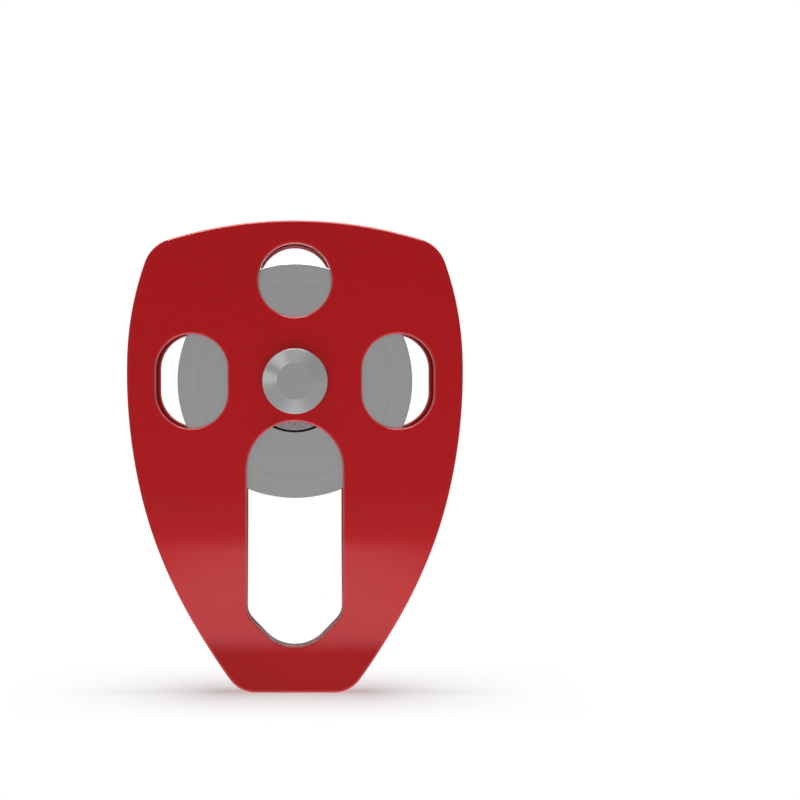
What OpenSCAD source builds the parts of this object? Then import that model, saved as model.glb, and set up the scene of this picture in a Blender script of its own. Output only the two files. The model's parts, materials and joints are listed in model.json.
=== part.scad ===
// Rope pulley for climbing and rigging: two cheek plates, closed together at the carabiner
// end, on either side of a grooved sheave that turns on two ball bearings. The rear cheek
// swings about the axle, so that a rope can be laid in the groove.
// The origin is the middle of the axle. The axle runs along Y with its front head at -Y,
// and +Z points up, away from the carabiner eye.

/* [Cheek outline] */
// Half of the greatest width of a cheek
cheek_half_w = 36.1; // [36:0.1:37]
// Height of the top edge above the axle, in the middle
cheek_top = 34.56; // [33.5:0.01:36]
// Depth of the bottom edge below the axle
cheek_bottom = 68.2; // [67.5:0.1:69]
// Radius of the crowned top edge
crown_r = 92; // [85:1:100]
// Radius of the two top corners
top_corner_r = 7.9; // [7:0.1:9]
// Distance of each top corner's centre from the middle
top_corner_x = 24.83; // [24:0.01:25.5]
// Radius of the bulging upper side edges
upper_side_r = 66.4; // [62:0.1:70]
// Radius of the long lower side edges
lower_side_r = 113.8; // [108:0.1:120]
// Radius of the two bottom corners
bottom_corner_r = 7; // [6:0.1:8]
// Distance of each bottom corner's centre from the middle
bottom_corner_x = 8.55; // [8:0.05:9.5]

/* [Cheek section] */
// Thickness of the plate
plate_t = 3; // [2.8:0.1:3.2]
// Distance from the middle to the inner face of the flat upper part
plate_in = 10.1; // [10.1:0.05:10.4]
// Angle of the slanted part from upright
slant = 21; // [19:0.5:23]
// Depth at which the upper bend starts
upper_bend_z = 23.8; // [23:0.1:25]
// Radius of the upper bend on the outside of the plate
upper_bend_r = 36; // [32:1:40]
// Radius of the lower bend on the outside of the plate
lower_bend_r = 17; // [12:1:20]
// Gap from the middle to the inner face of the closed tail
tail_gap = 0.05; // [0.05:0.05:0.2]

/* [Openings in each cheek] */
// Diameter of the round hole near the top
top_hole_d = 15.8; // [14:0.1:17]
// Height of the round hole above the axle
top_hole_z = 21.7; // [21:0.1:22.5]
// Width of the two slots beside the axle
side_slot_w = 15.5; // [13:0.1:16.5]
// Height of the two slots beside the axle
side_slot_h = 20.4; // [18:0.1:23]
// Distance of each slot's middle from the axle
side_slot_x = 22.2; // [21.5:0.1:23]
// Width of the carabiner eye
eye_w = 20.8; // [20:0.1:21.5]
// Depth of the centre of the eye's round top
eye_top_z = 19.05; // [18.5:0.05:20]
// Depth of the bottom of the eye
eye_bottom_z = 57.95; // [57:0.05:58.5]
// Radius of the bottom of the eye
eye_bottom_r = 8.65; // [8:0.05:9]
// Radius that blends each side of the eye into its chamfer
eye_shoulder_r = 4; // [2:0.5:5]

/* [Sheave] */
// Outside diameter of the sheave
sheave_d = 50.8; // [50:0.1:51.5]
// Width of the sheave
sheave_w = 17.5; // [17.5:0.1:17.6]
// Radius of the rope groove's section
groove_r = 9.4; // [9:0.1:9.8]
// Depth of the rope groove
groove_depth = 4.5; // [4:0.1:5]
// Rounding of the outer rim edges
rim_round = 0.3; // [0.1:0.05:0.35]

/* [Bearings] */
// Outside diameter of each ball bearing
bearing_od = 22; // [22:0.1:22.5]
// Width of each ball bearing
bearing_w = 7; // [6.8:0.1:7.2]
// Diameter of the balls
ball_d = 3.97; // [3.8:0.01:4]
// Diameter of the circle that the balls run on
ball_circle_d = 15; // [14.9:0.05:15.1]
// Number of balls in each bearing
ball_count = 7; // [6:1:7]

/* [Axle and washers] */
// Diameter of the axle's shank, and of the bearings' bores
axle_d = 8; // [7.8:0.1:8.2]
// Diameter of the conical heads at both ends
head_d = 14; // [13:0.1:14.5]
// Diameter of the spacer washers
washer_d = 21.2; // [20:0.1:21.4]
// Outside diameter of the rubber dust seals
seal_d = 22.2; // [21.8:0.1:22.6]

/* [Hidden] */
$fn = 128;

cheek_red = [0.64, 0.09, 0.11];
steel_grey = [0.62, 0.62, 0.64];
polished_grey = [0.78, 0.78, 0.8];
washer_grey = [0.45, 0.45, 0.46];
rubber_black = [0.07, 0.07, 0.07];
cage_tan = [0.55, 0.47, 0.33];

// Longer than any piece, for cuts that go right through
through = 100;

// --- Outline of a cheek, in X and Z ---

// Points of an arc about the centre c, from angle a0 to angle a1
function arc(c, r, a0, a1, steps) =
    [for (i = [0:steps]) let (a = a0 + (a1 - a0) * i / steps) c + r * [cos(a), sin(a)]];
// Angle from +X of the line from point a to point b
function line_angle(a, b) = atan2(b[1] - a[1], b[0] - a[0]);
// Centre, to the left, of the circle of radius R that touches two smaller circles inside it
function wrapping_centre(c1, r1, c2, r2, R) = let (
    d = norm(c2 - c1),
    u = (c2 - c1) / d,
    along = (d * d + pow(R - r1, 2) - pow(R - r2, 2)) / (2 * d),
    away = sqrt(pow(R - r1, 2) - along * along)
) c1 + along * u + away * [u[1], -u[0]];
// A right-hand edge from top to bottom, joined to its mirror image on the left
function both_sides(right) =
    concat(right, [for (i = [len(right) - 1:-1:0])
        if (right[i][0] > 0.001) [-right[i][0], right[i][1]]]);

crown_c = [0, cheek_top - crown_r];
top_corner_c = [top_corner_x,
    crown_c[1] + sqrt(pow(crown_r - top_corner_r, 2) - pow(top_corner_x, 2))];
upper_side_x = cheek_half_w - upper_side_r;
upper_side_c = [upper_side_x, top_corner_c[1]
    - sqrt(pow(upper_side_r - top_corner_r, 2) - pow(top_corner_x - upper_side_x, 2))];
bottom_corner_c = [bottom_corner_x, bottom_corner_r - cheek_bottom];
lower_side_c = wrapping_centre(upper_side_c, upper_side_r,
    bottom_corner_c, bottom_corner_r, lower_side_r);
// Angles at which one arc of the edge runs into the next
crown_end = line_angle(crown_c, top_corner_c);
top_corner_end = line_angle(upper_side_c, top_corner_c);
upper_side_end = line_angle(lower_side_c, upper_side_c);
lower_side_end = line_angle(lower_side_c, bottom_corner_c);
cheek_edge = both_sides(concat(
    arc(crown_c, crown_r, 90, crown_end, 12),
    arc(top_corner_c, top_corner_r, crown_end, top_corner_end, 10),
    arc(upper_side_c, upper_side_r, top_corner_end, upper_side_end, 12),
    arc(lower_side_c, lower_side_r, upper_side_end, lower_side_end, 20),
    arc(bottom_corner_c, bottom_corner_r, lower_side_end, -90, 10)));

// --- Section of the rear cheek, in Y and Z ---

plate_out = plate_in + plate_t;
upper_bend_c = [plate_out - upper_bend_r, -upper_bend_z];
lower_bend_y = tail_gap + plate_t + lower_bend_r;
// The straight slant touches both bends, which fixes the depth of the lower one
lower_bend_c = [lower_bend_y, -upper_bend_z
    + ((lower_bend_y - upper_bend_c[0]) * cos(slant) - upper_bend_r - lower_bend_r) / sin(slant)];
// One face of the plate from top to bottom: 0 deep is the outer face, plate_t deep the inner
function plate_face(depth) = concat(
    [[plate_out - depth, through]],
    arc(upper_bend_c, upper_bend_r - depth, 0, -slant, 12),
    arc(lower_bend_c, lower_bend_r + depth, 180 - slant, 180, 8),
    [[tail_gap + plate_t - depth, -through]]);
inner_face = plate_face(plate_t);
plate_section = concat(plate_face(0),
    [for (i = [len(inner_face) - 1:-1:0]) inner_face[i]]);

// --- Carabiner eye, in X and Z ---

eye_r = eye_w / 2;
eye_bottom_c = [0, eye_bottom_r - eye_bottom_z];
// The chamfers lie at 45 degrees, so they touch the bottom arc and the shoulders
shoulder_c = [eye_r - eye_shoulder_r,
    eye_bottom_c[1] + eye_r - eye_shoulder_r - (eye_bottom_r - eye_shoulder_r) * sqrt(2)];
eye_edge = both_sides(concat(
    arc([0, -eye_top_z], eye_r, 90, 0, 20),
    arc(shoulder_c, eye_shoulder_r, 0, -45, 5),
    arc(eye_bottom_c, eye_bottom_r, -45, -90, 8)));

// --- Along the axle: distances from the middle ---

sheave_half = sheave_w / 2;
washer_flange_y = sheave_half + 0.5;
washer_out = plate_in - 0.05;
washer_step_d = 13.8;
bearing_mid = sheave_half - bearing_w / 2;
head_rim_y = plate_out + 2.13;
head_end_y = head_rim_y + 1.47;
head_flat_d = 7.8;
cap_y = plate_out + 1.32;
cap_rim_y = cap_y + 1.25;
cap_end_y = cap_rim_y + 1.37;
cap_flat_d = 6.6;
stub_d = 5.2;
stub_end_y = cap_end_y + 0.89;

// --- Radii and details of the sheave and bearings ---

sheave_r = sheave_d / 2;
rib_bore_d = 18;
spacer_d = 11.6;
// Running gap between the rear cheek and the axle
cheek_play = 0.06;
// Gap between each ball and its races
ball_play = 0.05;
ball_r = ball_d / 2;
race_r = ball_r + ball_play;
circle_r = ball_circle_d / 2;
inner_land_r = circle_r - 1.15;
outer_land_r = circle_r + 1.2;
shield_t = 0.3;
shield_inset = 0.35;
shield_r = outer_land_r + 0.7;
shield_bore_r = inner_land_r + 0.25;
cage_half_w = 2.3;
cage_in_r = circle_r - 0.6;
cage_out_r = circle_r + 0.65;

// --- Shared shapes ---

// Solid turned about the axle from a profile drawn with its radius along X and Y along Y
module turned() {
    rotate([-90, 0, 0]) rotate_extrude() children();
}

// Cylinder along the axle
module rod(r, y0, y1) {
    translate([0, y0, 0]) rotate([-90, 0, 0]) cylinder(r = r, h = y1 - y0);
}

// Cylinder along the axle with a hole through it
module tube(r, bore_r, y0, y1) {
    difference() {
        rod(r, y0, y1);
        rod(bore_r, y0 - 1, y1 + 1);
    }
}

// Head with a straight rim and a cone down to a flat end
module conical_head(flat_d, y0, rim_y, end_y) {
    rod(head_d / 2, y0, rim_y);
    translate([0, rim_y, 0]) rotate([-90, 0, 0])
        cylinder(d1 = head_d, d2 = flat_d, h = end_y - rim_y);
}

// Extrusion along Y of a shape drawn in X and Z, right through the rear plate
module through_plate() {
    translate([0, through, 0]) rotate([90, 0, 0]) linear_extrude(through) children();
}

module side_slot() {
    reach = (side_slot_h - side_slot_w) / 2;
    for (z = [-reach, reach]) translate([0, 0, z]) rod(side_slot_w / 2, 0, through);
    translate([-side_slot_w / 2, 0, -reach]) cube([side_slot_w, through, 2 * reach]);
}

// Cheek on the +Y side
module cheek(axle_hole_r) {
    color(cheek_red) difference() {
        intersection() {
            through_plate() polygon(cheek_edge);
            rotate([90, 0, 90]) linear_extrude(through, center = true) polygon(plate_section);
        }
        rod(axle_hole_r, 0, through);
        translate([0, 0, top_hole_z]) rod(top_hole_d / 2, 0, through);
        for (x = [-side_slot_x, side_slot_x]) translate([x, 0, 0]) side_slot();
        through_plate() polygon(eye_edge);
    }
}

// --- Cheeks and axle ---

module front_cheek() {
    mirror([0, 1, 0]) cheek(axle_d / 2);
}

module rear_cheek() {
    cheek(axle_d / 2 + cheek_play);
}

module axle() {
    color(steel_grey) {
        rod(axle_d / 2, -plate_out, cap_y);
        rod(stub_d / 2, 0, stub_end_y);
        mirror([0, 1, 0]) conical_head(head_flat_d, plate_out, head_rim_y, head_end_y);
    }
}

module axle_rear_cap() {
    color(steel_grey) difference() {
        conical_head(cap_flat_d, cap_y, cap_rim_y, cap_end_y);
        rod(stub_d / 2, 0, through);
    }
}

// --- Sheave ---

// Half of the sheave's section, from its middle to its side face
module sheave_half_section() {
    difference() {
        union() {
            square([sheave_r - rim_round, sheave_half]);
            square([sheave_r, sheave_half - rim_round]);
            translate([sheave_r - rim_round, sheave_half - rim_round]) circle(rim_round);
        }
        translate([sheave_r - groove_depth + groove_r, 0]) circle(groove_r);
        square([rib_bore_d / 2, sheave_w]);
        translate([0, sheave_half - bearing_w]) square([bearing_od / 2, sheave_w]);
    }
}

module sheave() {
    color(polished_grey) turned() {
        sheave_half_section();
        mirror([0, 1]) sheave_half_section();
    }
}

// --- Washers, seals and spacer, on the +Y side ---

module spacer_washer() {
    color(washer_grey) difference() {
        union() {
            rod(washer_d / 2, washer_flange_y, washer_out);
            rod(washer_step_d / 2, sheave_half, washer_out);
        }
        rod(axle_d / 2, 0, through);
    }
}

module dust_seal() {
    color(rubber_black) tube(seal_d / 2, washer_d / 2, washer_flange_y, washer_out);
}

module inner_ring_spacer() {
    width = sheave_w - 2 * bearing_w;
    color(steel_grey) tube(spacer_d / 2, axle_d / 2, -width / 2, width / 2);
}

// --- Ball bearing, centred on the origin ---

// Race groove, as a ring round the axle
module race_groove() {
    turned() translate([circle_r, 0]) circle(race_r);
}

module bearing_outer_ring() {
    seat_depth = shield_inset + shield_t;
    color(steel_grey) difference() {
        tube(bearing_od / 2, outer_land_r, -bearing_w / 2, bearing_w / 2);
        race_groove();
        for (side = [-1, 1]) translate([0, side * bearing_w / 2, 0])
            rod(shield_r, -seat_depth, seat_depth);
    }
}

module bearing_inner_ring() {
    color(steel_grey) difference() {
        tube(inner_land_r, axle_d / 2, -bearing_w / 2, bearing_w / 2);
        race_groove();
    }
}

// Balls, or the pockets round them
module ball_ring(r) {
    for (i = [0:ball_count - 1]) rotate([0, i * 360 / ball_count, 0])
        translate([0, 0, circle_r]) sphere(r);
}

module bearing_balls() {
    color(polished_grey) ball_ring(ball_r);
}

module bearing_cage() {
    color(cage_tan) difference() {
        tube(cage_out_r, cage_in_r, -cage_half_w, cage_half_w);
        ball_ring(ball_r + ball_play);
    }
}

// Shield in the bearing's +Y face
module bearing_shield() {
    face = bearing_w / 2 - shield_inset;
    color(steel_grey) tube(shield_r, shield_bore_r, face - shield_t, face);
}

// --- Placing: what is drawn on the +Y side, or centred, goes to its own side ---

module rear_bearing() {
    translate([0, bearing_mid, 0]) children();
}

module on_front() {
    mirror([0, 1, 0]) children();
}

front_cheek();
rear_cheek();
axle();
axle_rear_cap();
sheave();
on_front() spacer_washer();  // front_spacer_washer
spacer_washer();  // rear_spacer_washer
on_front() dust_seal();  // front_dust_seal
dust_seal();  // rear_dust_seal
inner_ring_spacer();
on_front() rear_bearing() bearing_outer_ring();  // front_bearing_outer_ring
on_front() rear_bearing() bearing_inner_ring();  // front_bearing_inner_ring
on_front() rear_bearing() bearing_balls();  // front_bearing_balls
on_front() rear_bearing() bearing_cage();  // front_bearing_cage
on_front() rear_bearing() bearing_shield();  // front_bearing_outer_shield
on_front() rear_bearing() on_front() bearing_shield();  // front_bearing_inner_shield
rear_bearing() bearing_outer_ring();  // rear_bearing_outer_ring
rear_bearing() bearing_inner_ring();  // rear_bearing_inner_ring
rear_bearing() bearing_balls();  // rear_bearing_balls
rear_bearing() bearing_cage();  // rear_bearing_cage
rear_bearing() bearing_shield();  // rear_bearing_outer_shield
rear_bearing() on_front() bearing_shield();  // rear_bearing_inner_shield
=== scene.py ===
"""Rope pulley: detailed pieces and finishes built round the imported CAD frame.

Lengths are in metres, in the CAD frame: the axle runs along Y, the fixed cheek is at -Y and +Z is up.
"""

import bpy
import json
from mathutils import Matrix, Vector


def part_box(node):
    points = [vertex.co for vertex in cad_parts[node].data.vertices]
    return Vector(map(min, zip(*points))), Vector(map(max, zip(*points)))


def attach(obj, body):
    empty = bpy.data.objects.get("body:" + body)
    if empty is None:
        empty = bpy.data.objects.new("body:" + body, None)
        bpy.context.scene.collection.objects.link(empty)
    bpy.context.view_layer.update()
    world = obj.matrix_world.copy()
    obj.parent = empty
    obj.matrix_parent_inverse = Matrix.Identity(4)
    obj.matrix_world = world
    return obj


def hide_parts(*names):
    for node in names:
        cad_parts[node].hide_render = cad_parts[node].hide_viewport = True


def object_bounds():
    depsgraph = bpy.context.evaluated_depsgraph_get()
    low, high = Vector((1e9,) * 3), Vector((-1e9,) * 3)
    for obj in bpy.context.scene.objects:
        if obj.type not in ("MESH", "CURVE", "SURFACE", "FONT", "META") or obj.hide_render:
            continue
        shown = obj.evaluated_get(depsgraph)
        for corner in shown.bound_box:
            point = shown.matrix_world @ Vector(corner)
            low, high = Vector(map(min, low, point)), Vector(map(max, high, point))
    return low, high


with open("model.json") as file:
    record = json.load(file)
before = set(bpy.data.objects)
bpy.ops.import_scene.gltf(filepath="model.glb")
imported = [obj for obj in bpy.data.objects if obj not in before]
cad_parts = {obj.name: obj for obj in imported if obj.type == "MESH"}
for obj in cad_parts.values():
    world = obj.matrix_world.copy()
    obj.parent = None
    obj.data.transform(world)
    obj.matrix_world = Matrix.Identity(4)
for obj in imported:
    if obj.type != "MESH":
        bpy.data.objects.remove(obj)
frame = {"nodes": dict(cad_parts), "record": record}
CAD_BOX = [list(corner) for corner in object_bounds()]

import json
import math

import bpy
import numpy as np
from mathutils import Vector
from mathutils.geometry import delaunay_2d_cdt

MM = 0.001

# ---------------------------------------------------------------- measures taken from the frame

CHEEK_LO, CHEEK_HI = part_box("rear_cheek")
AXLE_LO, AXLE_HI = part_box("axle")
CAP_LO, CAP_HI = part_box("axle_rear_cap")
WASHER_LO, WASHER_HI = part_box("rear_spacer_washer")
SEAL_LO, SEAL_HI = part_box("rear_dust_seal")
SHEAVE_R, SHEAVE_HALF_W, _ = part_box("sheave")[1]
# The bearings' seats in the sheave, and the rib between them
SEAT_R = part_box("rear_bearing_outer_ring")[1].x
RIB_HALF_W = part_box("inner_ring_spacer")[1].y

# ---------------------------------------------------------------- measures repeated from the CAD

# Cheek outline: half its width, the radii of its arcs and the distances of its corners' centres
# from the middle
CHEEK_HALF_W = 36.1 * MM
CROWN_R = 92 * MM
TOP_CORNER_R = 7.9 * MM
TOP_CORNER_X = 24.83 * MM
UPPER_SIDE_R = 66.4 * MM
LOWER_SIDE_R = 113.8 * MM
BOTTOM_CORNER_R = 7 * MM
BOTTOM_CORNER_X = 8.55 * MM
# Cheek section: the plate's thickness, the slant of its lower part in degrees, and its two bends
PLATE_T = 3 * MM
SLANT = 21
UPPER_BEND_Z = -23.8 * MM
UPPER_BEND_R = 36 * MM
LOWER_BEND_R = 17 * MM
# Openings in the cheeks: the round top hole, the side slots and the carabiner eye
TOP_HOLE_R = 7.9 * MM
TOP_HOLE_Z = 21.7 * MM
SLOT_W = 15.5 * MM
SLOT_H = 20.4 * MM
SLOT_X = 22.2 * MM
EYE_R = 10.4 * MM
EYE_TOP_Z = -19.05 * MM
EYE_BOTTOM_Z = -57.95 * MM
EYE_BOTTOM_R = 8.65 * MM
EYE_SHOULDER_R = 4 * MM
# Sheave, axle and washers
GROOVE_R = 9.4 * MM
GROOVE_DEPTH = 4.5 * MM
RIB_BORE_R = 9 * MM
AXLE_R = 4 * MM
REAR_HOLE_R = 4.06 * MM
STUB_R = 2.6 * MM
HEAD_FLAT_R = 3.9 * MM
HEAD_CONE = 1.47 * MM
CAP_FLAT_R = 3.3 * MM
CAP_CONE = 1.37 * MM
WASHER_STEP_R = 6.9 * MM

# ---------------------------------------------------------------- making of the meshes

# Rounding of the cheeks' edges, and the number of steps round it
EDGE_ROUND = 0.6 * MM
EDGE_STEPS = 8
# Strength of the painted highlight on the outline's edge, where that on the holes' edges is 1
OUTLINE_EDGE_HIGHLIGHT = 0.12
# The eye's wall is worn by the carabiner below this height, and fully worn a little further down; the
# bare metal there also serves as a painted highlight
EYE_WEAR_AND_HIGHLIGHT_Z = -51 * MM
EYE_WEAR_AND_HIGHLIGHT_BLEND = 5 * MM
# Spacing of the points along arcs and straight runs of the cheeks' edges
ARC_STEP = 0.5 * MM
STRAIGHT_STEP = 0.9 * MM
# Spacing of the points that carry the bends
BEND_ROW = 0.5 * MM
BEND_COLUMN = 1.4 * MM
# Steps round each rounded corner of a turned profile, and points round the axle
FILLET_STEPS = 4
SEGMENTS = 192
# The groove stops this many degrees short of its full arc, to leave room for the rounded lips
GROOVE_LIP = 1.6
GROOVE_STEPS = 72
# Teeth on the washers' faces and notches in the seals' rims: how many, how deep, and the points each
WASHER_TEETH = 96
TOOTH_DEPTH = 0.09 * MM
SEAL_NOTCHES = 88
NOTCH_DEPTH = 0.16 * MM
POINTS_PER_TOOTH = 8
FACE_STEPS = 12


def new_piece(name, points, faces, normals, node, materials, face_slots=None, masks=None):
    """A smooth mesh with exact normals, that stands for a CAD node and rides on its body.
    masks are named values of each point, for the finishes."""
    mesh = bpy.data.meshes.new(name)
    mesh.from_pydata([tuple(p) for p in points], [], faces)
    for material in materials:
        mesh.materials.append(material)
    if face_slots is not None:
        mesh.polygons.foreach_set("material_index", face_slots)
    for mask, values in (masks or {}).items():
        mesh.attributes.new(mask, "FLOAT", "POINT").data.foreach_set("value", values)
    mesh.shade_smooth()
    mesh.normals_split_custom_set_from_vertices([tuple(n) for n in normals])
    mesh.update()
    piece = bpy.data.objects.new(name, mesh)
    bpy.context.scene.collection.objects.link(piece)
    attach(piece, BODY_OF[node])
    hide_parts(node)
    return piece


BODY_OF = {
    node: body
    for body, nodes in frame["record"]["behaviour"]["bodies"].items()
    for node in nodes
}


# ---------------------------------------------------------------- cheeks: outlines in X and Z


def arc(centre, radius, start, end):
    """Rows of x, z and outward normal along an arc, with its angles in degrees."""
    steps = max(3, math.ceil(abs(math.radians(end - start)) * radius / ARC_STEP))
    angles = np.radians(np.linspace(start, end, steps + 1))
    normals = np.column_stack([np.cos(angles), np.sin(angles)])
    return np.hstack([np.array(centre) + radius * normals, normals])


def mirrored(rows):
    """The same run on the other side of X = 0, in the opposite order."""
    return rows[::-1] * np.array([-1, 1, -1, 1])


def closed(runs):
    """Joins runs of points into one loop, with further points along each straight gap."""
    parts = []
    for run, following in zip(runs, runs[1:] + runs[:1]):
        gap = following[0] - run[-1]
        steps = math.ceil(math.hypot(gap[0], gap[1]) / STRAIGHT_STEP - 0.01)
        parts.append(run if steps > 0 else run[:-1])
        for i in range(1, steps):
            parts.append((run[-1] + gap * i / steps)[None])
    return np.vstack(parts)


def hole(runs):
    """A closed loop whose normals point into the hole."""
    return closed(runs) * np.array([1, 1, -1, -1])


def angle_between(a, b):
    return math.degrees(math.atan2(b[1] - a[1], b[0] - a[0]))


def wrapping_centre(c1, r1, c2, r2, wrap_r):
    """Centre of the circle of radius wrap_r that touches two smaller circles inside it."""
    d = np.hypot(*(c2 - c1))
    u = (c2 - c1) / d
    along = (d**2 + (wrap_r - r1) ** 2 - (wrap_r - r2) ** 2) / (2 * d)
    away = math.sqrt((wrap_r - r1) ** 2 - along**2)
    return c1 + along * u + away * np.array([u[1], -u[0]])


def cheek_outline():
    top, bottom = CHEEK_HI.z, CHEEK_LO.z
    crown = np.array([0, top - CROWN_R])
    reach = math.sqrt((CROWN_R - TOP_CORNER_R) ** 2 - TOP_CORNER_X**2)
    top_corner = np.array([TOP_CORNER_X, crown[1] + reach])
    side_x = CHEEK_HALF_W - UPPER_SIDE_R
    drop = math.sqrt((UPPER_SIDE_R - TOP_CORNER_R) ** 2 - (TOP_CORNER_X - side_x) ** 2)
    upper_side = np.array([side_x, top_corner[1] - drop])
    bottom_corner = np.array([BOTTOM_CORNER_X, bottom + BOTTOM_CORNER_R])
    lower_side = wrapping_centre(
        upper_side, UPPER_SIDE_R, bottom_corner, BOTTOM_CORNER_R, LOWER_SIDE_R
    )
    crown_end = angle_between(crown, top_corner)
    corner_end = angle_between(upper_side, top_corner)
    upper_end = angle_between(lower_side, upper_side)
    lower_end = angle_between(lower_side, bottom_corner)
    right = [
        arc(crown, CROWN_R, 90, crown_end),
        arc(top_corner, TOP_CORNER_R, crown_end, corner_end),
        arc(upper_side, UPPER_SIDE_R, corner_end, upper_end),
        arc(lower_side, LOWER_SIDE_R, upper_end, lower_end),
        arc(bottom_corner, BOTTOM_CORNER_R, lower_end, -90),
    ]
    return closed(right + [mirrored(run) for run in right[::-1]])


def slot_hole(x):
    reach = (SLOT_H - SLOT_W) / 2
    return hole([arc((x, -reach), SLOT_W / 2, 180, 360), arc((x, reach), SLOT_W / 2, 0, 180)])


def eye_hole():
    bottom_z = EYE_BOTTOM_Z + EYE_BOTTOM_R
    rise = EYE_R - EYE_SHOULDER_R - (EYE_BOTTOM_R - EYE_SHOULDER_R) * math.sqrt(2)
    right = [
        arc((0, bottom_z), EYE_BOTTOM_R, -90, -45),
        arc((EYE_R - EYE_SHOULDER_R, bottom_z + rise), EYE_SHOULDER_R, -45, 0),
        arc((0, EYE_TOP_Z), EYE_R, 0, 90),
    ]
    return hole(right + [mirrored(run) for run in right[::-1]])


def round_hole(z, radius):
    return hole([arc((0, z), radius, 0, 360)])


# ---------------------------------------------------------------- cheeks: section in Y and Z

UPPER_BEND_Y = CHEEK_HI.y - UPPER_BEND_R
LOWER_BEND_Y = CHEEK_LO.y + PLATE_T + LOWER_BEND_R
SIN_SLANT, COS_SLANT = math.sin(math.radians(SLANT)), math.cos(math.radians(SLANT))
LOWER_BEND_Z = (
    UPPER_BEND_Z
    + ((LOWER_BEND_Y - UPPER_BEND_Y) * COS_SLANT - UPPER_BEND_R - LOWER_BEND_R) / SIN_SLANT
)


def section(z, depth):
    """y of the rear plate at heights z, some depth under its outer face, and the face's tilt there."""
    upper_r, lower_r = UPPER_BEND_R - depth, LOWER_BEND_R + depth
    upper_end, lower_start = UPPER_BEND_Z - upper_r * SIN_SLANT, LOWER_BEND_Z + lower_r * SIN_SLANT
    slope = SIN_SLANT / COS_SLANT
    upper_sin = np.clip((UPPER_BEND_Z - z) / upper_r, 0, SIN_SLANT)
    lower_sin = np.clip((z - LOWER_BEND_Z) / lower_r, 0, SIN_SLANT)
    upper_y = UPPER_BEND_Y + upper_r * np.sqrt(1 - upper_sin**2)
    lower_y = LOWER_BEND_Y - lower_r * np.sqrt(1 - lower_sin**2)
    straight_y = upper_y - (upper_end - z) * slope
    y = np.where(z > upper_end, upper_y, np.where(z > lower_start, straight_y, lower_y))
    return y, np.arcsin(np.minimum(upper_sin, lower_sin))


def inside(points, loops):
    """Whether each point lies inside the outline and outside its holes."""
    odd = np.zeros(len(points), bool)
    for loop in loops:
        a, b = loop[:, :2], np.roll(loop[:, :2], -1, axis=0)
        for (ax, az), (bx, bz) in zip(a, b):
            if az != bz:
                crosses = (az > points[:, 1]) != (bz > points[:, 1])
                odd ^= crosses & (points[:, 0] < ax + (points[:, 1] - az) / (bz - az) * (bx - ax))
    return odd


def bend_points(loops):
    """Points in the two bends, in staggered rows, well inside the plate."""
    upper = np.arange(UPPER_BEND_Z, UPPER_BEND_Z - UPPER_BEND_R * SIN_SLANT - BEND_ROW, -BEND_ROW)
    lower_top = LOWER_BEND_Z + (LOWER_BEND_R + PLATE_T) * SIN_SLANT
    lower = np.arange(lower_top + BEND_ROW, LOWER_BEND_Z - BEND_ROW, -BEND_ROW)
    columns = np.arange(CHEEK_LO.x, CHEEK_HI.x, BEND_COLUMN)
    points = np.array(
        [
            (x + (row % 2) * BEND_COLUMN / 2, z)
            for row, z in enumerate(np.concatenate([upper, lower]))
            for x in columns
        ]
    )
    points = points[inside(points, loops)]
    edge = np.vstack(loops)[:, :2]
    nearest = np.array([np.min(np.hypot(*(edge - p).T)) for p in points])
    return points[nearest > EDGE_ROUND + 0.6 * BEND_ROW]


def triangulated(loops):
    """Triangles, counter-clockwise in X and Z, over the plate's face inside its rounded edges."""
    rims = [np.hstack([l[:, :2] - l[:, 2:] * EDGE_ROUND, l[:, 2:]]) for l in loops]
    inner = bend_points(loops)
    flat = np.vstack([rim[:, :2] for rim in rims] + [inner])
    edges, first = [], 0
    for rim in rims:
        n = len(rim)
        edges += [(first + i, first + (i + 1) % n) for i in range(n)]
        first += n
    scaled = [Vector(p) for p in flat / MM]
    _, _, faces, sources, _, _ = delaunay_2d_cdt(scaled, edges, [], 0, 1e-6)
    faces = np.array([[sources[v][0] for v in face] for face in faces])
    corners = flat[faces]
    faces = faces[inside(corners.mean(axis=1), rims)]
    a, b, c = (flat[faces[:, i]] for i in range(3))
    turn = (b[:, 0] - a[:, 0]) * (c[:, 1] - a[:, 1]) - (b[:, 1] - a[:, 1]) * (c[:, 0] - a[:, 0])
    faces[turn < 0] = faces[turn < 0][:, ::-1]
    return flat, faces


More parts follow.
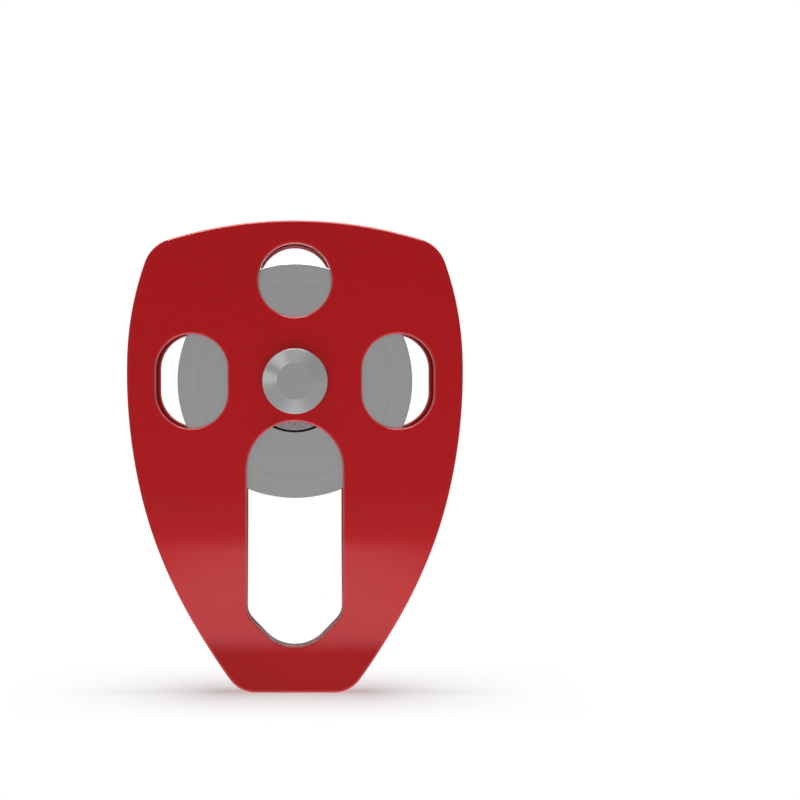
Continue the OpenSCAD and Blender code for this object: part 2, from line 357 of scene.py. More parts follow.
def cheek(node, axle_hole_r, side, materials):
    """A bent plate with rounded edges. side is 1 for the rear cheek and -1 for the front."""
    loops = {
        "outline": cheek_outline(),
        "top hole": round_hole(TOP_HOLE_Z, TOP_HOLE_R),
        "left slot": slot_hole(-SLOT_X),
        "right slot": slot_hole(SLOT_X),
        "eye": eye_hole(),
        "axle hole": round_hole(0, axle_hole_r),
    }
    flat, triangles = triangulated(list(loops.values()))
    points, normals, faces = [], [], []
    edge_highlight, wear_and_highlight = [np.zeros(2 * len(flat))], [np.zeros(2 * len(flat))]

    def face_points(xz, depth, out):
        y, tilt = section(xz[:, 1], depth)
        points.append(np.column_stack([xz[:, 0], y, xz[:, 1]]))
        normals.append(out * np.column_stack([0 * y, np.cos(tilt), -np.sin(tilt)]))

    face_points(flat, 0, 1)
    face_points(flat, PLATE_T, -1)
    faces += [tuple(t[::-1]) for t in triangles]
    faces += [tuple(t + len(flat)) for t in triangles]

    # Rings round each edge: from the outer face's rim over the wall to the inner face's rim
    turns = np.radians(np.linspace(90, 0, EDGE_STEPS + 1))[1:]
    rings = [(0, 1, turn) for turn in turns] + [(PLATE_T, -1, turn) for turn in turns[::-1]]
    start, first = 2 * len(flat), 0
    for kind, loop in loops.items():
        n = len(loop)
        loop_edge_highlight = OUTLINE_EDGE_HIGHLIGHT if kind == "outline" else 1
        # Bare metal where the carabiner rubs the eye's bottom, which also serves as a painted highlight
        # there
        rubbed_and_highlight = np.clip((EYE_WEAR_AND_HIGHLIGHT_Z - loop[:, 1]) / EYE_WEAR_AND_HIGHLIGHT_BLEND, 0, 1) * (kind == "eye")
        indices = [np.arange(first, first + n)]
        for depth, out, turn in rings:
            xz = loop[:, :2] - loop[:, 2:] * EDGE_ROUND * (1 - math.cos(turn))
            y, tilt = section(xz[:, 1], depth)
            y = y - out * EDGE_ROUND * (1 - math.sin(turn))
            wall = np.column_stack([loop[:, 2], 0 * y, loop[:, 3]])
            over = out * np.column_stack([0 * y, np.cos(tilt), -np.sin(tilt)])
            points.append(np.column_stack([xz[:, 0], y, xz[:, 1]]))
            normals.append(math.cos(turn) * wall + math.sin(turn) * over)
            # Painted highlight: the edge's colour is lightened part way round its rounding, where a
            # highlight would sit
            edge_highlight.append(np.full(n, loop_edge_highlight * math.sin(2 * turn) * math.cos(turn) ** 3))
            wear_and_highlight.append(rubbed_and_highlight * math.cos(turn) ** 2)
            indices.append(np.arange(start, start + n))
            start += n
        indices.append(np.arange(first, first + n) + len(flat))
        for upper, lower in zip(indices, indices[1:]):
            for i in range(n):
                j = (i + 1) % n
                faces.append((upper[i], lower[i], lower[j], upper[j]))
        first += n
    points, normals = np.vstack(points), np.vstack(normals)
    normals /= np.linalg.norm(normals, axis=1)[:, None]
    faces = [tuple(int(v) for v in face) for face in faces]
    if side < 0:
        points[:, 1] *= -1
        normals[:, 1] *= -1
        faces = [face[::-1] for face in faces]
    return new_piece(node + "_plate", points, faces, normals, node, materials,
                     masks={"edge_highlight": np.concatenate(edge_highlight), "wear_and_highlight": np.concatenate(wear_and_highlight)})


# ---------------------------------------------------------------- turned pieces


def curve_rows(centre, radius, start, end, steps, out):
    """Profile rows along an arc. out is 1 where the metal is inside the arc and -1 where outside."""
    angles = np.radians(np.linspace(start, end, steps + 1))
    n = np.column_stack([np.cos(angles), np.sin(angles)])
    return np.hstack([np.array(centre) + radius * n, out * n])


def profile(corners, is_closed=True):
    """Rows of radius, y and outward normal round a profile, counter-clockwise with the radius to
    the right. A corner is (radius, y, rounding), and an array is a run of ready rows."""
    def spot(item, end):
        return item[end, :2] if isinstance(item, np.ndarray) else np.array(item[:2])

    rows, count = [], len(corners)
    for i, corner in enumerate(corners):
        if isinstance(corner, np.ndarray):
            rows.append(corner)
            continue
        here = spot(corner, 0)
        before = here - spot(corners[i - 1], -1)
        after = spot(corners[(i + 1) % count], 0) - here
        if not is_closed and i in (0, count - 1):
            rows.append(np.array([[*here, 0, -1 if i == 0 else 1]]))
            continue
        u, v = before / np.hypot(*before), after / np.hypot(*after)
        turn = math.atan2(u[0] * v[1] - u[1] * v[0], u @ v)
        sign = math.copysign(1, turn)
        back = corner[2] * math.tan(abs(turn) / 2)
        normal = np.array([u[1], -u[0]])
        centre = here - u * back - sign * normal * corner[2]
        base = math.atan2(normal[1], normal[0])
        for k in range(FILLET_STEPS + 1):
            a = base + turn * k / FILLET_STEPS
            n = np.array([math.cos(a), math.sin(a)])
            rows.append(np.hstack([centre + sign * corner[2] * n, n])[None])
    return np.vstack(rows)


def flipped(rows):
    """A profile mirrored to the -Y side."""
    return rows[::-1] * np.array([1, -1, 1, -1])


def turned(name, rows, node, materials, is_closed=True, segments=SEGMENTS, ripple=None,
           row_slots=None):
    """Turns a profile about the axle. ripple(rows, angles) gives offsets in radius and y."""
    count = len(rows)
    angles = np.arange(segments) * 2 * math.pi / segments
    shift = np.zeros((count, segments, 2)) if ripple is None else ripple(rows, angles)
    radius = rows[:, 0, None] + shift[:, :, 0]
    y = rows[:, 1, None] + shift[:, :, 1]
    ca, sa = np.cos(angles), np.sin(angles)
    grid = np.stack([radius * ca, y, radius * sa], axis=-1)
    normal = np.stack(
        [rows[:, 2, None] * ca, np.repeat(rows[:, 3, None], segments, 1), rows[:, 2, None] * sa],
        axis=-1,
    )
    on_axis = rows[:, 0] < 1e-7
    index = np.zeros((count, segments), int)
    points, normals, n = [], [], 0
    for i in range(count):
        if on_axis[i]:
            points.append(grid[i, :1])
            normals.append(normal[i, :1])
            index[i] = n
            n += 1
        else:
            points.append(grid[i])
            normals.append(normal[i])
            index[i] = np.arange(n, n + segments)
            n += segments
    faces, slots = [], []
    for i in range(count if is_closed else count - 1):
        a, b = index[i], index[(i + 1) % count]
        kind = 0 if row_slots is None else row_slots[i]
        for j in range(segments):
            k = (j + 1) % segments
            ring = [int(a[j]), int(b[j]), int(b[k]), int(a[k])]
            ring = [v for at, v in enumerate(ring) if v not in ring[:at]]
            faces.append(ring)
            slots.append(kind)
    return new_piece(name, np.vstack(points), faces, np.vstack(normals), node, materials, slots)


# ---------------------------------------------------------------- finishes


class Finish:
    """A procedural material, with short calls for the nodes that the finishes share."""

    def __init__(self, name, metallic, colour, roughness, **sockets):
        self.material = bpy.data.materials.new(name)
        self.material.use_nodes = True
        self.tree = self.material.node_tree
        self.shader = self.tree.nodes["Principled BSDF"]
        self.set("Metallic", metallic)
        self.set("Base Color", (*colour, 1))
        self.set("Roughness", roughness)
        for socket, value in sockets.items():
            self.set(socket.replace("_", " "), value)
        self.coordinates = self.node("ShaderNodeTexCoord").outputs["Object"]

    @classmethod
    def again(cls, material):
        """Goes on with a material that already has its nodes."""
        f = cls.__new__(cls)
        f.material, f.tree = material, material.node_tree
        f.shader = f.tree.nodes["Principled BSDF"]
        return f

    def node(self, kind, inputs=None, **attributes):
        made = self.tree.nodes.new(kind)
        for key, value in attributes.items():
            setattr(made, key, value)
        for key, value in (inputs or {}).items():
            if isinstance(value, bpy.types.NodeSocket):
                self.tree.links.new(value, made.inputs[key])
            else:
                made.inputs[key].default_value = value
        return made

    def set(self, socket, value):
        if isinstance(value, bpy.types.NodeSocket):
            self.tree.links.new(value, self.shader.inputs[socket])
        else:
            self.shader.inputs[socket].default_value = value

    def math(self, operation, a, b=0.0):
        return self.node("ShaderNodeMath", {0: a, 1: b}, operation=operation).outputs[0]

    def turned_coordinates(self):
        """Coordinates that are the same all round the axle: the radius, and the place along it."""
        split = self.node("ShaderNodeSeparateXYZ", {0: self.coordinates}).outputs
        across = self.node("ShaderNodeCombineXYZ", {"X": split["X"], "Z": split["Z"]}).outputs[0]
        radius = self.node("ShaderNodeVectorMath", {0: across}, operation="LENGTH").outputs["Value"]
        return self.node("ShaderNodeCombineXYZ", {"X": radius, "Y": split["Y"]}).outputs[0]

    def noise(self, scale, detail=2.0, roughness=0.5, at=None):
        """Noise from 0 to 1. The scale is in cells per metre."""
        inputs = {
            "Vector": at or self.coordinates,
            "Scale": scale,
            "Detail": detail,
            "Roughness": roughness,
        }
        return self.node("ShaderNodeTexNoise", inputs).outputs["Fac"]

    def stretched(self, scale):
        """Object coordinates, scaled along each axis."""
        mapping = self.node("ShaderNodeMapping", {"Vector": self.coordinates, "Scale": scale})
        return mapping.outputs[0]

    def between(self, factor, low, high, start=0.0, end=1.0):
        """A value that goes from low to high as factor goes from start to end."""
        inputs = {
            "Value": factor,
            "From Min": start,
            "From Max": end,
            "To Min": low,
            "To Max": high,
        }
        return self.node("ShaderNodeMapRange", inputs).outputs[0]

    def blend(self, factor, a, b):
        """A colour between a and b."""
        mix = self.node("ShaderNodeMix", {"Factor": factor}, data_type="RGBA")
        for slot, value in ((6, a), (7, b)):
            if isinstance(value, bpy.types.NodeSocket):
                self.tree.links.new(value, mix.inputs[slot])
            else:
                mix.inputs[slot].default_value = (*value, 1)
        return mix.outputs[2]

    def bump(self, height, distance, strength=1.0, under=None):
        inputs = {"Height": height, "Distance": distance, "Strength": strength}
        if under is not None:
            inputs["Normal"] = under
        return self.node("ShaderNodeBump", inputs).outputs[0]


def anodised_red():
    """Dyed and sealed aluminium plate: a fine satin grain, with the odd faint handling mark.
    The inner faces carry a darker red as painted shade, the holes' edges a pink painted highlight, and
    the eye's bottom is worn to bare metal that also serves as a painted highlight."""
    dark = (0.535, 0.0004, 0.004)
    light = (0.575, 0.0008, 0.005)
    speckled = (0.68, 0.004, 0.010)
    # a dark red, painted as shade on the inner faces between the cheeks
    painted_inner_shade = (0.10, 0.0002, 0.001)
    # a lighter pink, painted as a highlight on the holes' edges
    thin = (0.80, 0.17, 0.18)
    # bare metal where the eye is worn, which also serves as a painted highlight
    bare_metal_and_highlight = (0.74, 0.62, 0.60)
    f = Finish("anodised_red", 0.0, (0.55, 0.001, 0.005), 0.2, IOR=1.46)
    broad = f.noise(38, 3)
    grain = f.noise(5200, 2, 0.6)
    dye = f.blend(broad, dark, light)
    speck = f.between(grain, 0, 0.16, 0.45, 0.8)
    dye = f.blend(speck, dye, speckled)
    marks = f.noise(1, 2, 0.5, f.stretched((160, 160, 2600)))
    mark = f.between(marks, 0, 1, 0.70, 0.78)
    # Painted shade: faces that turn inward, towards the other cheek, get a darker red that stands in for
    # the shade between the two cheeks
    facing = f.node("ShaderNodeSeparateXYZ", {0: f.node("ShaderNodeNewGeometry").outputs["Normal"]})
    place = f.node("ShaderNodeSeparateXYZ", {0: f.coordinates})
    outward = f.math("MULTIPLY", facing.outputs["Y"], f.math("SIGN", place.outputs["Y"]))
    dye = f.blend(f.between(outward, 0.55, 0, -0.9, -0.3), dye, painted_inner_shade)
    # Painted highlight: a lighter pink along the holes' rounded edges, and faintly along the outline
    edge_highlight = f.node("ShaderNodeAttribute", attribute_name="edge_highlight").outputs["Fac"]
    patchy = f.between(f.noise(260, 4), 0.8, 1.4, 0.35, 0.70)
    dye = f.blend(f.math("MULTIPLY", edge_highlight, patchy), dye, thin)
    # Worn bare metal at the eye's bottom, also serving as a painted highlight
    wear_and_highlight = f.node("ShaderNodeAttribute", attribute_name="wear_and_highlight").outputs["Fac"]
    bare_and_highlight = f.math("MULTIPLY", wear_and_highlight, f.between(f.noise(900, 4), 0.4, 0.9, 0.40, 0.60))
    f.set("Base Color", f.blend(bare_and_highlight, dye, bare_metal_and_highlight))
    f.set("Metallic", f.math("MULTIPLY", bare_and_highlight, 0.2))
    satin = f.between(f.noise(420, 3), 0.12, 0.18)
    scuffed = f.math("MULTIPLY", f.math("ADD", mark, bare_and_highlight), 0.1)
    f.set("Roughness", f.math("ADD", satin, scuffed))
    orange_peel = f.bump(f.noise(700, 2), 0.000012, 0.35)
    f.set("Normal", f.bump(grain, 0.000006, 0.5, orange_peel))
    return f.material


def polished_groove():
    """Mirror-polished aluminium, with the finest turning lines left round the groove."""
    f = Finish("polished_groove", 1.0, (0.83, 0.83, 0.84), 0.06)
    rings = f.noise(9000, 1, 0.5, f.turned_coordinates())
    tint = f.blend(f.noise(90, 3), (0.80, 0.80, 0.81), (0.86, 0.86, 0.87))
    f.set("Base Color", tint)
    haze = f.between(f.noise(240, 4), 0.035, 0.085, 0.35, 0.7)
    f.set("Roughness", haze)
    f.set("Normal", f.bump(rings, 0.0000015, 0.25))
    return f.material


def turned_face(name, colour, roughness, depth):
    """Machined metal with concentric tool marks."""
    f = Finish(name, 1.0, colour, roughness)
    at = f.turned_coordinates()
    rings = f.noise(3800, 2, 0.6, at)
    lighter = tuple(min(1, c * 1.07) for c in colour)
    darker = tuple(c * 0.93 for c in colour)
    f.set("Base Color", f.blend(f.noise(900, 3, 0.6, at), darker, lighter))
    smear = f.math("MULTIPLY", f.noise(160, 3), 0.08)
    streak = f.between(rings, -0.05, 0.05)
    f.set("Roughness", f.math("ADD", f.math("ADD", smear, streak), roughness - 0.03))
    f.set("Normal", f.bump(rings, depth, 0.6))
    return f.material


def axle_steel():
    """Machined steel with concentric tool marks; its rounded rims are painted darker and less metallic, a
    painted shade that dims their highlights.
    """
    material = turned_face("axle_steel", (0.85, 0.85, 0.85), 0.22, 0.0000025)
    f = Finish.again(material)
    # Painted shade: the rounded rims, found by their slant to the axle, are darkened and made less
    # metallic to dim their highlights
    normal = f.node("ShaderNodeSeparateXYZ", {0: f.node("ShaderNodeNewGeometry").outputs["Normal"]})
    along = f.math("ABSOLUTE", normal.outputs["Y"])
    edge = f.math("MULTIPLY", f.between(along, 0, 1, 0.05, 0.35), f.between(along, 1, 0, 0.75, 0.88))
    f.set("Metallic", f.between(edge, 1.0, 0.45))
    tone = f.shader.inputs["Base Color"].links[0].from_socket
    f.set("Base Color", f.blend(f.math("MULTIPLY", edge, 0.55), tone, (0.25, 0.25, 0.25)))
    return material


def serrated_grey():
    """Bright steel, blasted to a coarse grain, for the washers."""
    f = Finish("serrated_grey", 1.0, (0.75, 0.75, 0.74), 0.3)
    pits = f.noise(2600, 3, 0.7)
    stain = f.between(pits, 0, 1, 0.38, 0.62)
    f.set("Base Color", f.blend(stain, (0.50, 0.50, 0.49), (0.86, 0.86, 0.85)))
    f.set("Roughness", f.between(f.noise(1500, 3), 0.22, 0.38))
    f.set("Normal", f.bump(pits, 0.00004, 0.6))
    return f.material


def blackened_steel():
    """Oil-blackened steel, for the washers' steps."""
    f = Finish("blackened_steel", 0.0, (0.008, 0.008, 0.008), 0.4, IOR=1.5)
    f.set("Base Color", f.blend(f.noise(1200, 3), (0.004, 0.004, 0.004), (0.02, 0.02, 0.021)))
    f.set("Roughness", f.between(f.noise(2400, 2), 0.32, 0.5))
    f.set("Normal", f.bump(f.noise(3200, 2), 0.00001, 0.5))
    return f.material


def seal_rubber():
    """Black nitrile rubber with a fine moulded grain. Its rim is scuffed in thin grey lines."""
    f = Finish("seal_rubber", 0.0, (0.004, 0.004, 0.004), 0.5, IOR=1.35)
    grain = f.noise(3600, 3, 0.65)
    scuff = f.math("ABSOLUTE", f.math("SUBTRACT", f.noise(1, 2, 0.5, f.stretched((900, 1500, 620))), 0.5))
    line = f.between(scuff, 1, 0, 0.0, 0.06)
    facing = f.node("ShaderNodeSeparateXYZ", {0: f.node("ShaderNodeNewGeometry").outputs["Normal"]})
    on_rim = f.math("LESS_THAN", f.math("ABSOLUTE", facing.outputs["Y"]), 0.7)
    scuffed = f.math("MULTIPLY", line, on_rim)
    f.set("Base Color", f.blend(scuffed, (0.003, 0.003, 0.003), (0.30, 0.30, 0.30)))
    f.set("Roughness", f.between(grain, 0.42, 0.62))
    f.set("Normal", f.bump(grain, 0.00003, 0.7))
    return f.material


def bearing_steel(name, colour, roughness):
    """Ground bearing steel with a trace of oil."""
    f = Finish(name, 1.0, colour, roughness)
    ground = f.noise(6000, 1, 0.5, f.turned_coordinates())
    oil = f.between(f.noise(500, 3), 0, 0.5, 0.4, 0.7)
    f.set("Base Color", f.blend(oil, colour, tuple(c * w for c, w in zip(colour, (0.86, 0.84, 0.78)))))
    f.set("Roughness", f.between(f.noise(800, 3), roughness * 0.7, roughness * 1.4))
    f.set("Normal", f.bump(ground, 0.000002, 0.3))
    return f.material


def cage_brass():
    """Stamped brass, slightly tarnished."""
    f = Finish("cage_brass", 1.0, (0.72, 0.53, 0.25), 0.34)
    tarnish = f.between(f.noise(600, 4), 0, 1, 0.4, 0.7)
    f.set("Base Color", f.blend(tarnish, (0.74, 0.55, 0.27), (0.52, 0.36, 0.17)))
    f.set("Roughness", f.between(f.noise(1400, 3), 0.26, 0.44))
    f.set("Normal", f.bump(f.noise(2600, 2), 0.000008, 0.4))
    return f.material


# ---------------------------------------------------------------- pieces

RED = anodised_red()
GROOVE = polished_groove()
SHEAVE_SIDE = turned_face("sheave_side", (0.86, 0.86, 0.86), 0.18, 0.000003)
AXLE_STEEL = axle_steel()
WASHER_GREY = serrated_grey()
BLACKENED = blackened_steel()
RUBBER = seal_rubber()
RING_STEEL = bearing_steel("ring_steel", (0.70, 0.70, 0.72), 0.16)
BALL_STEEL = bearing_steel("ball_steel", (0.82, 0.82, 0.83), 0.06)
SHIELD_STEEL = turned_face("shield_steel", (0.62, 0.62, 0.63), 0.3, 0.000003)
BRASS = cage_brass()


def make_axle():
    head_y, rim_y = AXLE_LO.y, AXLE_LO.y + HEAD_CONE
    rows = profile(
        [
            (0, head_y, 0),
            (HEAD_FLAT_R, head_y, 0.3 * MM),
            (AXLE_HI.x, rim_y, 0.15 * MM),
            (AXLE_HI.x, -CHEEK_HI.y, 0.15 * MM),
            (AXLE_R, -CHEEK_HI.y, 0.1 * MM),
            (AXLE_R, CAP_LO.y, 0.15 * MM),
            (STUB_R, CAP_LO.y, 0.1 * MM),
            (STUB_R, AXLE_HI.y, 0.3 * MM),
            (0, AXLE_HI.y, 0),
        ],
        is_closed=False,
    )
    return turned("axle_turned", rows, "axle", [AXLE_STEEL], is_closed=False)


def make_cap():
    rows = profile(
        [
            (STUB_R, CAP_LO.y, 0.05 * MM),
            (CAP_HI.x, CAP_LO.y, 0.15 * MM),
            (CAP_HI.x, CAP_HI.y - CAP_CONE, 0.25 * MM),
            (CAP_FLAT_R, CAP_HI.y, 0.2 * MM),
            (STUB_R, CAP_HI.y, 0.1 * MM),
        ]
    )
    return turned("axle_rear_cap_turned", rows, "axle_rear_cap", [AXLE_STEEL])


def make_sheave():
    rim, half, rib = SHEAVE_R, SHEAVE_HALF_W, RIB_HALF_W
    groove_centre = rim - GROOVE_DEPTH + GROOVE_R
    opening = math.degrees(math.acos((groove_centre - rim) / GROOVE_R))
    reach = opening - GROOVE_LIP
    groove = curve_rows((groove_centre, 0), GROOVE_R, 180 + reach, 180 - reach, GROOVE_STEPS, -1)
    edge = math.sqrt(GROOVE_R**2 - (GROOVE_R - GROOVE_DEPTH) ** 2)
    corners = [
        (SEAT_R, -half, 0.12 * MM),
        (rim, -half, 0.15 * MM),
        (rim, -edge, 0.22 * MM),
        groove,
        (rim, edge, 0.22 * MM),
        (rim, half, 0.15 * MM),
        (SEAT_R, half, 0.12 * MM),
        (SEAT_R, rib, 0.1 * MM),
        (RIB_BORE_R, rib, 0.15 * MM),
        (RIB_BORE_R, -rib, 0.15 * MM),
        (SEAT_R, -rib, 0.1 * MM),
    ]
    rows = profile(corners)
    in_groove = (rows[:, 0] > rim - GROOVE_DEPTH - 0.1 * MM) & (np.abs(rows[:, 1]) < half - 0.2 * MM)
    row_slots = [int(a and b) for a, b in zip(in_groove, np.roll(in_groove, -1))]
    return turned("sheave_turned", rows, "sheave", [SHEAVE_SIDE, GROOVE],
                  segments=SEGMENTS * 3 // 2, row_slots=row_slots)


def washer_teeth(rows, angles):
    """Fine radial teeth on the flange's outer face, cut into the metal."""
    shift = np.zeros((len(rows), len(angles), 2))
    on_face = (np.abs(rows[:, 1]) > WASHER_HI.y - 0.02 * MM) & (rows[:, 0] > WASHER_STEP_R)
    inset = (rows[:, 0] < WASHER_HI.x - 0.25 * MM) & on_face
    wave = 0.5 - 0.5 * np.cos(angles * WASHER_TEETH)
    shift[inset, :, 1] = -np.sign(rows[inset, 1])[:, None] * TOOTH_DEPTH * wave
    return shift


def make_washer(side):
    face = np.linspace(WASHER_HI.x - 0.3 * MM, WASHER_STEP_R + 0.1 * MM, FACE_STEPS)
    flange_face = np.column_stack([face, face * 0 + WASHER_HI.y, face * 0, face * 0 + 1])
    rows = profile(
        [
            (AXLE_R, WASHER_LO.y, 0.1 * MM),
            (WASHER_STEP_R, WASHER_LO.y, 0.1 * MM),
            (WASHER_STEP_R, SEAL_LO.y, 0.08 * MM),
            (WASHER_HI.x, SEAL_LO.y, 0.1 * MM),
            (WASHER_HI.x, WASHER_HI.y, 0.12 * MM),
            flange_face,
            (AXLE_R, WASHER_HI.y, 0.1 * MM),
        ]
    )
    node = side + "_spacer_washer"
    rows = rows if side == "rear" else flipped(rows)
    on_step = (rows[:, 0] < WASHER_STEP_R + 0.01 * MM) & (np.abs(rows[:, 1]) < SEAL_LO.y)
    row_slots = [int(a or b) for a, b in zip(on_step, np.roll(on_step, -1))]
    return turned(node + "_serrated", rows, node, [WASHER_GREY, BLACKENED],
                  segments=WASHER_TEETH * POINTS_PER_TOOTH, ripple=washer_teeth, row_slots=row_slots)


def seal_notches(rows, angles):
    """Shallow notches round the middle of the seal's rim."""
    shift = np.zeros((len(rows), len(angles), 2))
    middle = (np.abs(SEAL_LO.y) + np.abs(SEAL_HI.y)) / 2
    half = (SEAL_HI.y - SEAL_LO.y) / 2
    outside = rows[:, 0] > SEAL_HI.x - 0.05 * MM
    window = np.clip(1 - (np.abs(np.abs(rows[:, 1]) - middle) / half / 0.75) ** 4, 0, 1) * outside
    wave = (0.5 - 0.5 * np.cos(angles * SEAL_NOTCHES)) ** 2
    shift[:, :, 0] = -NOTCH_DEPTH * window[:, None] * wave
    return shift


def make_seal(side):
    run = np.linspace(SEAL_LO.y + 0.14 * MM, SEAL_HI.y - 0.14 * MM, FACE_STEPS)
    rim = np.column_stack([run * 0 + SEAL_HI.x, run, run * 0 + 1, run * 0])
    rows = profile(
        [
            (WASHER_HI.x, SEAL_LO.y, 0.08 * MM),
            (SEAL_HI.x, SEAL_LO.y, 0.13 * MM),
            rim,
            (SEAL_HI.x, SEAL_HI.y, 0.13 * MM),
            (WASHER_HI.x, SEAL_HI.y, 0.08 * MM),
        ]
    )
    node = side + "_dust_seal"
    rows = rows if side == "rear" else flipped(rows)
    return turned(node + "_ribbed", rows, node, [RUBBER],
                  segments=SEAL_NOTCHES * POINTS_PER_TOOTH, ripple=seal_notches)


for cheek_node, hole_r, cheek_side in (("front_cheek", AXLE_R, -1), ("rear_cheek", REAR_HOLE_R, 1)):
    cheek(cheek_node, hole_r, cheek_side, [RED])
make_axle()
make_cap()
make_sheave()
for end in ("front", "rear"):
    make_washer(end)
    make_seal(end)

FINISH_OF_SLOT = {
    "bearing_steel": RING_STEEL,
    "ball_steel": BALL_STEEL,
    "bearing_cage": BRASS,
    "bearing_shield": SHIELD_STEEL,
}
for part in frame["record"]["subparts"]:
    if part["material_slot"] in FINISH_OF_SLOT:
        node = frame["nodes"][part["node"]]
        node.data.materials.clear()
        node.data.materials.append(FINISH_OF_SLOT[part["material_slot"]])

# ---------------------------------------------------------------- studio


# The floor's extent each way, and the radius of the backdrop round it
FLOOR_REACH = 3.0
BACKDROP_R = 2.8
# Light that matt surfaces get from the table: an even part that fades out, and more close by
TABLE_LIGHT = 0.35
TABLE_LIGHT_FADE = (0.07, 0.50)
NEAR_LIGHT_R = 0.035
NEAR_LIGHT_SHARPNESS = 4
# Glow that reflections see: an even part, and a round patch under the pulley, which shows fully
# when it is looked at from steeply above and not at all when it is looked at along the table
EVEN_GLOW = 0.35
PATCH_GLOW = 1.26
PATCH_R = 0.049
PATCH_SHARPNESS = 9
STEEP, GRAZING = 0.5, 0.85
# The camera sees the table turn into plain white over this distance, from partly white
WHITE_OUT = 0.12
WHITE_AT_MIDDLE = 0.35
# Grey of the surroundings, from straight down at 0 to straight up at 1
SURROUNDINGS = ((0, 0.50), (0.45, 0.33), (0.56, 0.31), (0.8, 0.28), (1, 0.24))


def make_floor():
    """Pale paper on a light table. The camera sees it fade into the white surroundings."""
    reach = FLOOR_REACH
    corners = [(-reach, -reach, 0), (reach, -reach, 0), (reach, reach, 0), (-reach, reach, 0)]
    mesh = bpy.data.meshes.new("floor")
    mesh.from_pydata(corners, [], [(0, 1, 2, 3)])
    floor = bpy.data.objects.new("floor", mesh)
    floor.location.z = CAD_BOX[0][2]
    bpy.context.scene.collection.objects.link(floor)
    f = Finish("floor_paper", 0.0, (0.9, 0.9, 0.9), 0.8, Specular_IOR_Level=0.0)
    f.set("Base Color", f.blend(f.noise(3, 2), (0.89, 0.89, 0.89), (0.91, 0.91, 0.91)))
    inputs = {0: f.coordinates}
    distance = f.node("ShaderNodeVectorMath", inputs, operation="LENGTH").outputs["Value"]
    facing = f.node("ShaderNodeLayerWeight", {"Blend": 0.5}).outputs["Facing"]
    ray = f.node("ShaderNodeLightPath").outputs

    def patch(strength, radius, sharpness):
        """Strength of a round patch of light that is down to half at its radius."""
        falloff = f.math("POWER", f.math("DIVIDE", distance, radius), sharpness)
        return f.math("DIVIDE", strength, f.math("ADD", falloff, 1))

    def glow(strength):
        return f.node("ShaderNodeEmission", {"Strength": strength}).outputs[0]

    def mix(factor, a, b):
        return f.node("ShaderNodeMixShader", {0: factor, 1: a, 2: b}).outputs[0]

    even = f.between(distance, TABLE_LIGHT, 0, *TABLE_LIGHT_FADE)
    soft = f.math("ADD", even, patch(TABLE_LIGHT, NEAR_LIGHT_R, NEAR_LIGHT_SHARPNESS))
    soft = glow(f.math("MULTIPLY", soft, ray["Is Diffuse Ray"]))
    table = f.node("ShaderNodeAddShader", {0: f.shader.outputs[0], 1: soft}).outputs[0]
    steepness = f.between(facing, 1, 0, STEEP, GRAZING)
    mirrored_glow = f.math("MULTIPLY", patch(PATCH_GLOW, PATCH_R, PATCH_SHARPNESS), steepness)
    surface = mix(ray["Is Glossy Ray"], table, glow(f.math("ADD", mirrored_glow, EVEN_GLOW)))
    white = f.between(distance, WHITE_AT_MIDDLE, 1, 0.0, WHITE_OUT)
    surface = mix(f.math("MULTIPLY", white, ray["Is Camera Ray"]), surface, glow(1.0))
    f.tree.links.new(surface, f.tree.nodes["Material Output"].inputs["Surface"])
    mesh.materials.append(f.material)


def make_dome():
    """White surroundings for the camera only: the lighting and the reflections pass through it."""
    bpy.ops.mesh.primitive_uv_sphere_add(segments=48, ring_count=24, radius=BACKDROP_R)
    dome = bpy.context.object
    dome.name = "studio_backdrop"
    material = bpy.data.materials.new("backdrop_white")
    material.use_nodes = True
    nodes, links = material.node_tree.nodes, material.node_tree.links
    nodes.clear()
    white = nodes.new("ShaderNodeEmission")
    white.inputs["Color"].default_value = (1, 1, 1, 1)
    links.new(white.outputs[0], nodes.new("ShaderNodeOutputMaterial").inputs["Surface"])
    dome.data.materials.append(material)
    for ray in ("diffuse", "glossy", "transmission", "volume_scatter", "shadow"):
        setattr(dome, "visible_" + ray, False)


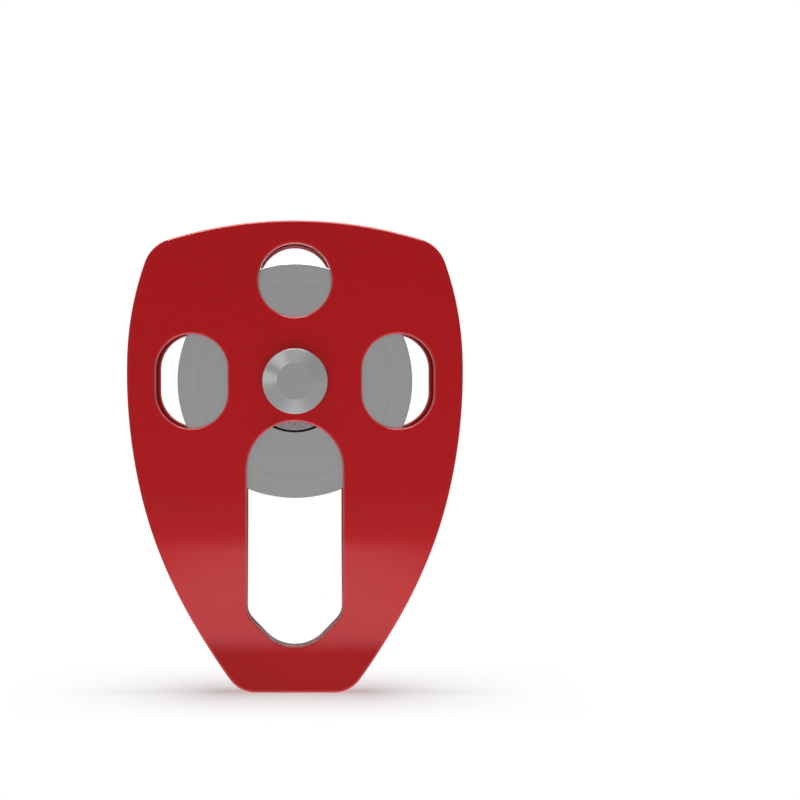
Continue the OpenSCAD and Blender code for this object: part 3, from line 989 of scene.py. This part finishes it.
def make_world():
    """Grey studio surroundings, lighter below than above. Only reflections see them."""
    world = bpy.data.worlds.new("studio")
    bpy.context.scene.world = world
    world.use_nodes = True
    world.cycles_visibility.diffuse = False
    nodes, links = world.node_tree.nodes, world.node_tree.links
    direction = nodes.new("ShaderNodeTexCoord").outputs["Generated"]
    split = nodes.new("ShaderNodeSeparateXYZ")
    ramp = nodes.new("ShaderNodeValToRGB")
    remap = nodes.new("ShaderNodeMapRange")
    remap.inputs["From Min"].default_value = -1
    links.new(direction, split.inputs[0])
    links.new(split.outputs["Z"], remap.inputs["Value"])
    links.new(remap.outputs[0], ramp.inputs[0])
    links.new(ramp.outputs[0], nodes["Background"].inputs["Color"])
    stops = ramp.color_ramp.elements
    stops.remove(stops[1])
    for place, grey in SURROUNDINGS:
        stop = stops[0] if place == 0 else stops.new(place)
        stop.color = (grey, grey, grey, 1)


def area_light(name, place, size, power):
    """A square light that faces the pulley."""
    data = bpy.data.lights.new(name, "AREA")
    data.shape = "SQUARE"
    data.size = size
    data.energy = power
    light = bpy.data.objects.new(name, data)
    bpy.context.scene.collection.objects.link(light)
    light.location = place
    light.rotation_mode = "QUATERNION"
    light.rotation_quaternion = (-Vector(place)).to_track_quat("-Z", "Y")


# Camera: its distance and height, the lens, and the shift that frames the pulley left of centre
CAMERA_DISTANCE = 0.600
CAMERA_HEIGHT = 0.0030
CAMERA_LENS = 122.96
CAMERA_SHIFT = (0.1314, -0.0410)


def make_camera():
    data = bpy.data.cameras.new("camera")
    data.lens = CAMERA_LENS
    data.shift_x, data.shift_y = CAMERA_SHIFT
    data.clip_start = 0.01
    camera = bpy.data.objects.new("camera", data)
    bpy.context.scene.collection.objects.link(camera)
    camera.location = (0, -CAMERA_DISTANCE, CAMERA_HEIGHT)
    camera.rotation_euler = (math.pi / 2, 0, 0)
    bpy.context.scene.camera = camera


make_floor()
make_dome()
make_world()
area_light("overhead", (0.0, 0.0, 1.2), 0.95, 21)
area_light("upper_left", (-0.60, -0.66, 0.80), 0.55, 0.25)
area_light("left", (-0.90, -0.75, 0.05), 0.55, 0.22)
make_camera()
bpy.context.scene.view_settings.view_transform = "Standard"
